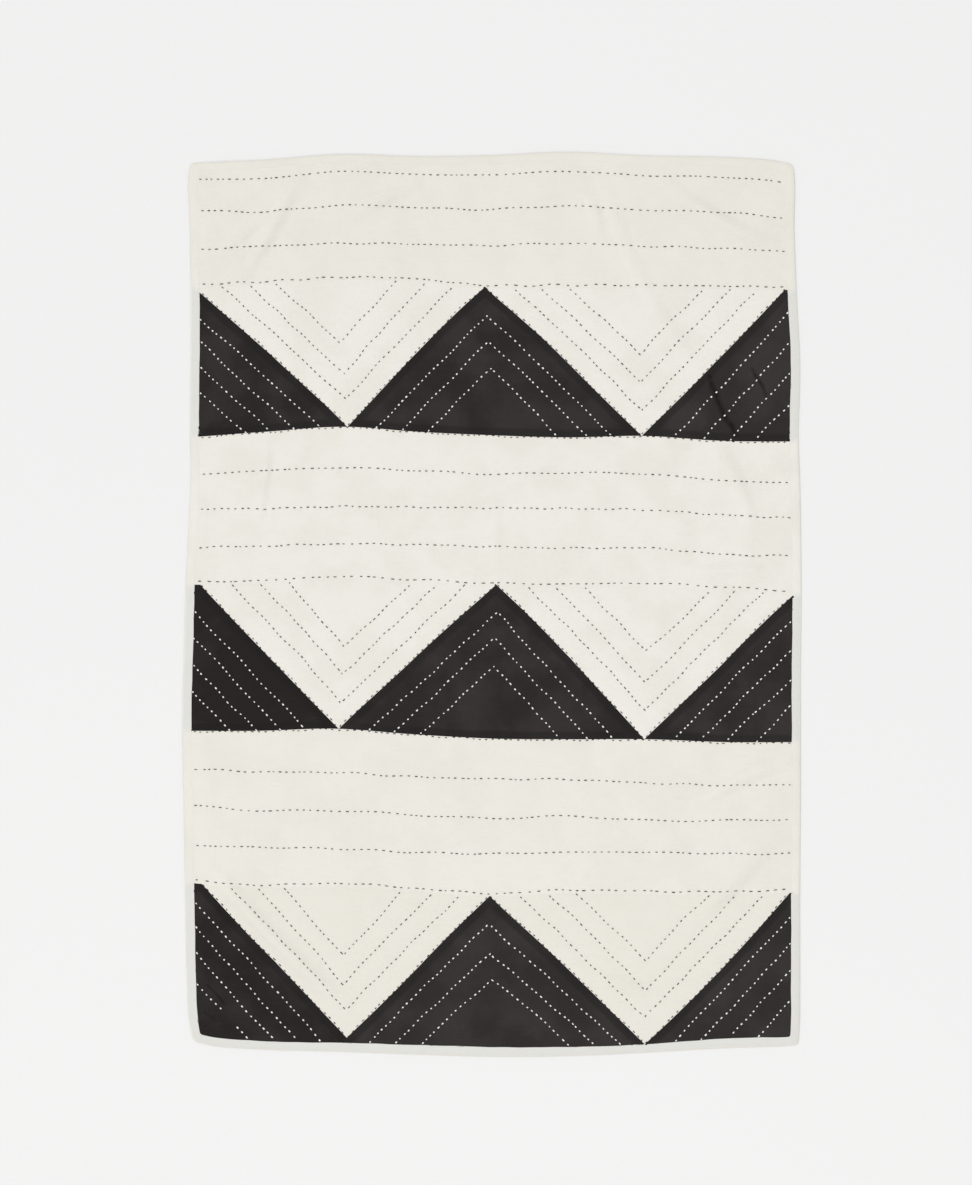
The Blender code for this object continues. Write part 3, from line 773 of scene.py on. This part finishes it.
def charcoal_paint(look, place, slubs, blotches, wear):
    """Dyed charcoal: faded unevenly and deeper over the turnings beside the seams, with painted shade
    in its creases.
    """
    faded = blotches.between(0.38, 0.66) * BLOTCHES_FADE + look.attribute("shade")
    faded = faded + slubs * SLUBS_FADE + wear.between(0.5, 0.8) * WEAR_FADES
    plain = look.mixed(faded, CHARCOAL, CHARCOAL_WORN)
    uneven = look.noise(place, UNEVEN_SCALE) * UNEVEN_BY
    turnings = 1.0 - (look.attribute("from_seam") + uneven).between(TURNINGS_FROM, TURNINGS_TO)
    over_turnings = look.mixed(turnings * TURNINGS_DEEPEN, plain, CHARCOAL_SEAM)
    # Painted shade: the charcoal darkened towards each crease, patchily.
    from_crease = look.attribute("from_crease") + uneven * CREASE_UNEVEN
    crease = 1.0 - from_crease.between(CREASE_CORE, CREASE_SHADE)
    patchy = look.noise(place, PATCHY_SCALE).between(0.35, 0.55) * (1 - PATCHY_LEAST) + PATCHY_LEAST
    return look.mixed(crease * patchy, over_turnings, CHARCOAL_CREASE_PAINTED_SHADE)


def back_paint(look, place, slubs, blotches, wear):
    """The plain ivory back."""
    return look.mixed(slubs * BACK_SLUBS_SHOW + blotches * BACK_BLOTCHES_SHOW, IVORY, IVORY_DULL)


def add_attribute(mesh, name, kind, domain, values):
    """Gives a mesh an attribute, with a value for each of its points or faces."""
    made = mesh.attributes.new(name, kind, domain)
    made.data.foreach_set("vector" if kind == "FLOAT_VECTOR" else "value", np.ravel(values))


def add_object(name, points, faces, materials):
    """A smooth-shaded object from points in metres, faces and materials."""
    mesh = bpy.data.meshes.new(name)
    mesh.from_pydata(points.tolist(), [], [list(face) for face in faces])
    mesh.shade_smooth()
    for material in materials:
        mesh.materials.append(material)
    made = bpy.data.objects.new(name, mesh)
    bpy.context.scene.collection.objects.link(made)
    return made


def flat(points):
    """Points of the cut cloth with a third coordinate of nought."""
    return np.column_stack((points, np.zeros(len(points))))


# How much each charcoal patch has faded, and how much darker and yellower each ivory band or row of
# patches is made, partly its own tone and partly painted shade.
FADING = {
    # row: left half, whole, right half
    "row 1": (0.10, 0.20, 0.40),
    "row 2": (-0.3, 0.20, 0.27),
    "row 3": (0.0, 0.36, 0.40),
}
IVORY_TONE_AND_SHADE_BANDS = (
    # foot, and how much darker and yellower from there up
    ("bottom edge", 0.75), ("row 3 top", 0.3), ("row 2 foot", 0.0), ("row 1 top", 0.45),
)


def ivory_tone_and_shade(points):
    """How much darker and yellower the ivory cloth is made at each point: partly its own tone, partly
    painted shade.
    """
    step = np.searchsorted([CUT_HEIGHT[foot] for foot, _ in IVORY_TONE_AND_SHADE_BANDS], points[:, 1], side="right") - 1
    return np.array([age for _, age in IVORY_TONE_AND_SHADE_BANDS])[step]


def patch_shades(points):
    """How far each charcoal patch has faded, and how much darker and yellower each ivory one is made,
    partly as painted shade.
    """
    u, v = points.T
    column = np.digitize(u, (COLUMNS[1], COLUMNS[3]))
    row = np.digitize(v, (CUT_HEIGHT["band 3 line 3"], CUT_HEIGHT["band 2 line 3"]))
    faded = np.array([FADING[name] for name in ("row 3", "row 2", "row 1")])[row, column]
    return np.where(is_charcoal(points), faded, ivory_tone_and_shade(points))


face_cut, face_triangles = face_cloth()
back_cut, back_triangles = back_cloth()
rim_count = len(outline(BODY_INSET, RIM_STEP))
ring = np.arange(rim_count)
following = (ring + 1) % rim_count
under = len(face_cut)
wall = np.concatenate((
    np.column_stack((ring + under, following + under, following)),
    np.column_stack((ring + under, following, ring)),
))
quilt_cut = np.concatenate((face_cut, back_cut))
quilt_faces = np.concatenate((face_triangles, back_triangles[:, ::-1] + under, wall))
face_middles = face_cut[face_triangles].mean(axis=1)
quilt = add_object(
    "pieced_quilt",
    placed(quilt_cut, np.concatenate((face_height(face_cut), back_height(back_cut)))),
    quilt_faces,
    [cotton("ivory_cotton", ivory_paint),
     cotton("charcoal_cotton", charcoal_paint, slub_strength=1.6, sheen=0.06),
     cotton("back_cotton", back_paint)],
)
IVORY_COTTON, CHARCOAL_COTTON, BACK_COTTON = 0, 1, 2
materials = np.full(len(quilt_faces), BACK_COTTON)
materials[:len(face_triangles)] = np.where(is_charcoal(face_middles), CHARCOAL_COTTON, IVORY_COTTON)
quilt.data.polygons.foreach_set("material_index", materials)
add_attribute(quilt.data, "cut", "FLOAT_VECTOR", "POINT", flat(quilt_cut))
add_attribute(quilt.data, "from_seam", "FLOAT", "POINT", seam_distance(quilt_cut))
add_attribute(quilt.data, "from_crease", "FLOAT", "POINT", crease_distance(quilt_cut))
add_attribute(quilt.data, "shade", "FLOAT", "FACE", patch_shades(quilt_cut[quilt_faces].mean(axis=1)))
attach(quilt, "root")
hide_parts("quilted_body")


# The binding: one long strip of the ivory cotton, machined to the face's edge, folded over to the
# back and sewn down there by hand. It reads grey where charcoal cloth shows through from beneath.
BINDING_STEP = 3.2
BINDING_SECTION = (
    # inset, height, cloth across: out under the back, round the fold and in over the face, then
    # back again inside
    (13.0, 0.0, 0), (7.0, 0.0, 6), (1.2, 0.0, 11), (0.3, 0.2, 12), (0.0, 0.6, 13),
    (0.05, 1.05, 14), (0.4, 1.55, 15), (1.1, 2.05, 16), (2.2, 2.5, 17.5), (4.0, 2.85, 19.5),
    (7.0, 3.12, 22.5), (10.0, 3.28, 25), (12.2, 3.35, 27), (12.8, 3.35, 28), (13.0, 3.2, 28.5),
    (9.0, 2.75, 30), (6.5, 2.6, 32), (4.0, 2.35, 35), (1.2, 1.3, 38), (1.2, 0.8, 40),
    (7.0, 0.8, 46), (13.0, 0.8, 52),
)
FOLD_ROW = 5
# The strip's width waves and its face ripples: each wave's length, phase and size.
BINDING_WAVES = ((61.0, 0.0, 0.15), (37.0, 2.0, 0.09), (143.0, 4.0, 0.175))
BINDING_RIPPLES = ((23.0, 1.0, 0.09), (41.0, 3.5, 0.12), (97.0, 0.5, 0.10))
FOLD_ACROSS = 15.0
SOILED_FROM, SOILED_TO, SOILING = 1.0, 5.0, 0.25
SHOWS_THROUGH = (0.718, 0.716, 0.678)
SHOWN_FROM = 6.5
SHOWN_BLUR = 4.0


def waving(along, waves):
    """A sum of slow waves along the strip."""
    return sum(size * np.sin(2 * math.pi * along / long + phase) for long, phase, size in waves)


def binding_strip():
    """Points of the strip, row by row of its section, their place on its own cloth, and stations."""
    loops = [outline(inset, BINDING_STEP) for inset, _, _ in BINDING_SECTION]
    outer = loops[FOLD_ROW]
    steps = np.hypot(*(np.roll(outer, -1, axis=0) - outer).T)
    along = np.concatenate(([0], np.cumsum(steps[:-1])))
    inner_edge = outline(BINDING_FACE, BINDING_STEP)
    inward = inner_edge - outer
    lift = face_height(inner_edge) - GROOVE_TOP
    wide = 1 + waving(along, BINDING_WAVES) / BINDING_FACE
    ripple = waving(along, BINDING_RIPPLES)
    points, cloth = [], []
    for (inset, height, across), loop in zip(BINDING_SECTION, loops):
        over = float(height > EDGE_TOP)
        cut = loop + inward * ((wide - 1) * inset / BINDING_FACE)[:, None]
        swell = ripple * math.sin(math.pi * min(inset / BINDING_FACE, 1)) * over
        points.append(placed(cut, height + swell + lift * over * inset / BINDING_FACE))
        cloth.append(np.column_stack((along, np.full(len(along), across), np.zeros(len(along)))))
    return points, cloth, along


def binding_paint(look, place, slubs, blotches, wear):
    """The same ivory, greyed by the charcoal beneath it and a little soiled along its fold."""
    plain = ivory_paint(look, place, slubs, blotches, wear)
    _, across, _ = look.axes(place)
    fold = 1.0 - abs(across - FOLD_ACROSS).between(SOILED_FROM, SOILED_TO)
    worn = look.mixed(fold * wear * SOILING, plain, IVORY_SLUB)
    return look.mixed(look.attribute("beneath"), worn, SHOWS_THROUGH)


strip, strip_cloth, strip_along = binding_strip()
stations = len(strip_along)
station = np.arange(stations)
next_station = (station + 1) % stations
strip_faces = []
for row in range(len(BINDING_SECTION)):
    low, high = row * stations, (row + 1) % len(BINDING_SECTION) * stations
    strip_faces.append(np.column_stack((low + station, high + station,
                                        high + next_station, low + next_station)))
binding = add_object("edge_binding", np.concatenate(strip), np.concatenate(strip_faces),
                     [cotton("binding_cotton", binding_paint)])
beneath = is_charcoal(outline(SHOWN_FROM, BINDING_STEP)).astype(float)
blur = round(SHOWN_BLUR / BINDING_STEP)
beneath = sum(np.roll(beneath, k) for k in range(-blur, blur + 1)) / (2 * blur + 1)
over_face = np.array([float(height > EDGE_TOP) for _, height, _ in BINDING_SECTION])
add_attribute(binding.data, "cut", "FLOAT_VECTOR", "POINT", np.concatenate(strip_cloth))
add_attribute(binding.data, "beneath", "FLOAT", "POINT", np.outer(over_face, beneath))
# The binding is made darker and yellower where the bands beside it are, partly as painted shade.
add_attribute(binding.data, "shade", "FLOAT", "POINT",
              np.tile(ivory_tone_and_shade(outline(SHOWN_FROM, BINDING_STEP)), len(BINDING_SECTION)))
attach(binding, "root")
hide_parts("binding")


# Dark running stitches: plied cotton thread in dark brown-grey, drawn by hand through the ivory
# cloth, along the bands, beside the charcoal patches and in the echoes of each ivory triangle.
THREAD_SIDES = 6
STITCH_RINGS = (
    # part of the stitch, height of the thread's middle above the cloth in radii, thickness
    (0.0, -0.9, 0.75), (0.12, 0.25, 0.95), (0.36, 0.7, 1.0),
    (0.64, 0.7, 1.0), (0.88, 0.25, 0.95), (1.0, -0.9, 0.75),
)
THICKEST, THICKNESS_VARIES = 1.18, 0.36
DARK_THREAD_RADIUS = 0.62
DARK_THREAD, DARK_THREAD_WORN = (0.010, 0.007, 0.004), (0.080, 0.060, 0.032)
PLY_TWIST, PLIES = 1.4, 2.0
FUZZ_SCALE = 900.0
STITCHES_VARY, GROOVES_LIGHTER, FUZZ_LIGHTER = 0.5, 0.15, 0.35
THREAD_ROUGHNESS, FUZZ_ROUGHER = 0.75, 0.15
PLY_RELIEF, FUZZ_RELIEF = 0.12, 0.05


def stitches(name, thread, radius, material):
    """Every stitch of one thread: short tubes that dip into the cloth at both ends."""
    parts = np.array([ring[0] for ring in STITCH_RINGS])
    cut, reach, number = [], [], []
    for kind, path, (starts, ends, waves) in sewing:
        if (kind == "charcoal echo") != (thread == "white"):
            continue
        distances = starts[:, None] + (ends - starts)[:, None] * parts
        cut.append(along_path(path, distances.ravel(), waves))
        reach.append((distances - starts[:, None]).ravel())
        number.append(np.repeat(hand.uniform(0, 1, len(starts)), len(parts)))
    cut, reach, number = (np.concatenate(values) for values in (cut, reach, number))
    count = len(cut) // len(parts)
    swell = np.tile([ring[2] for ring in STITCH_RINGS], count) * (THICKEST - THICKNESS_VARIES * number)
    rise = np.tile([ring[1] for ring in STITCH_RINGS], count) * radius
    middles = placed(cut, face_height(cut) + rise).reshape(count, len(parts), 3)
    heading = np.gradient(middles, axis=1)
    heading[..., 2] = 0
    heading /= np.linalg.norm(heading, axis=2, keepdims=True)
    sideways = np.stack((-heading[..., 1], heading[..., 0], heading[..., 2]), axis=2)
    angles = 2 * math.pi * np.arange(THREAD_SIDES) / THREAD_SIDES
    size = (radius * MM * swell).reshape(count, len(parts), 1, 1)
    upright = np.array((0, 0, 1.0))
    around = np.cos(angles)[:, None] * sideways[:, :, None] + np.sin(angles)[:, None] * upright
    points = (middles[:, :, None] + around * size).reshape(-1, 3)
    faces = []
    per_stitch = len(parts) * THREAD_SIDES
    for ring in range(len(parts) - 1):
        for side in range(THREAD_SIDES):
            a, b = ring * THREAD_SIDES + side, ring * THREAD_SIDES + (side + 1) % THREAD_SIDES
            faces.append((a, b, b + THREAD_SIDES, a + THREAD_SIDES))
    first = tuple(range(THREAD_SIDES))
    last = tuple(per_stitch - THREAD_SIDES + side for side in first)
    faces += [first[::-1], last]
    every = [tuple(k + stitch * per_stitch for k in face) for stitch in range(count) for face in faces]
    made = add_object(name, points, every, [material])
    thread_place = np.stack((np.repeat(reach, THREAD_SIDES), np.tile(angles, len(cut)),
                             np.repeat(number, THREAD_SIDES)), axis=1)
    add_attribute(made.data, "thread", "FLOAT_VECTOR", "POINT", thread_place)
    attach(made, "root")
    return made


def thread_look(name, colour, worn, sheen):
    """Twisted cotton thread: plies winding along it, each stitch a little lighter or darker."""
    look = Look(name)
    along, around, number = look.axes(look.attribute("thread", "Vector"))
    plies = (along * (2 * math.pi / PLY_TWIST) + around * PLIES).sine() * 0.5 + 0.5
    fuzz = look.noise(look.node("TexCoord", {}, {}, "Object"), FUZZ_SCALE)
    faded = number * STITCHES_VARY + (1.0 - plies) * GROOVES_LIGHTER + fuzz * FUZZ_LIGHTER
    look.shade(
        Base_Color=look.mixed(faded, colour, worn),
        Roughness=THREAD_ROUGHNESS + FUZZ_ROUGHER * fuzz,
        Normal=look.bump(plies * PLY_RELIEF + fuzz * FUZZ_RELIEF),
        Specular_IOR_Level=0.3, Sheen_Weight=sheen, Sheen_Roughness=0.5,
    )
    return look.material


dark_stitches = stitches("dark_stitches", "dark", DARK_THREAD_RADIUS,
                         thread_look("dark_thread", DARK_THREAD, DARK_THREAD_WORN, 0.1))


# White running stitches: a fatter, softly twisted white cotton, echoing the edges of each charcoal
# triangle inside it.
WHITE_THREAD_RADIUS = 0.95
WHITE_THREAD, WHITE_THREAD_WORN = (0.95, 0.94, 0.92), (0.88, 0.86, 0.82)
white_stitches = stitches("white_stitches", "white", WHITE_THREAD_RADIUS,
                          thread_look("white_thread", WHITE_THREAD, WHITE_THREAD_WORN, 0.2))


# The studio: a plain pale sheet of paper for a floor, a broad soft light from high on the left, a
# weak one beyond the quilt's lower edge, and an even pale surround. The camera looks straight down
# from above its middle.
FLOOR_REACH = 9.0
FLOOR_DOWN = 0.0002
PAPER, PAPER_SHADED = (0.815, 0.815, 0.812), (0.807, 0.807, 0.804)
PAPER_MOTTLE = 1.5
SURROUND = (1.0, 1.0, 1.0)
SURROUND_STRENGTH = 0.82
LIGHTS = (
    # name, place, size, power
    ("soft_box", (-13.0, 7.0, 28.0), 12.0, 2400.0),
    ("low_fill", (0.0, -3.0, 3.5), 2.5, 20.0),
)
CAMERA_PLACE, CAMERA_LENS, CAMERA_SENSOR = (-0.0083, 0.0167, 4.669), 100.0, 36.0

corners = np.array([(-1, -1), (1, -1), (1, 1), (-1, 1)]) * FLOOR_REACH
paper = Look("pale_paper")
mottle = paper.noise(paper.node("TexCoord", {}, {}, "Object"), PAPER_MOTTLE)
paper.shade(Base_Color=paper.mixed(mottle, PAPER, PAPER_SHADED), Roughness=0.9, Specular_IOR_Level=0.1)
floor = add_object("floor", np.column_stack((corners, np.full(4, -FLOOR_DOWN))), [(0, 1, 2, 3)],
                   [paper.material])

for name, place, size, power in LIGHTS:
    light = bpy.data.lights.new(name, "AREA")
    light.size, light.energy = size, power
    lamp = bpy.data.objects.new(name, light)
    lamp.location = place
    lamp.rotation_euler = (-Vector(place)).to_track_quat("-Z", "Y").to_euler()
    bpy.context.scene.collection.objects.link(lamp)

world = bpy.data.worlds.new("surround")
world.use_nodes = True
background = world.node_tree.nodes["Background"]
background.inputs["Color"].default_value = (*SURROUND, 1)
background.inputs["Strength"].default_value = SURROUND_STRENGTH
bpy.context.scene.world = world

lens = bpy.data.cameras.new("camera")
lens.lens, lens.sensor_width = CAMERA_LENS, CAMERA_SENSOR
camera = bpy.data.objects.new("camera", lens)
camera.location = CAMERA_PLACE
bpy.context.scene.collection.objects.link(camera)
bpy.context.scene.camera = camera
bpy.context.scene.view_settings.view_transform = "Standard"
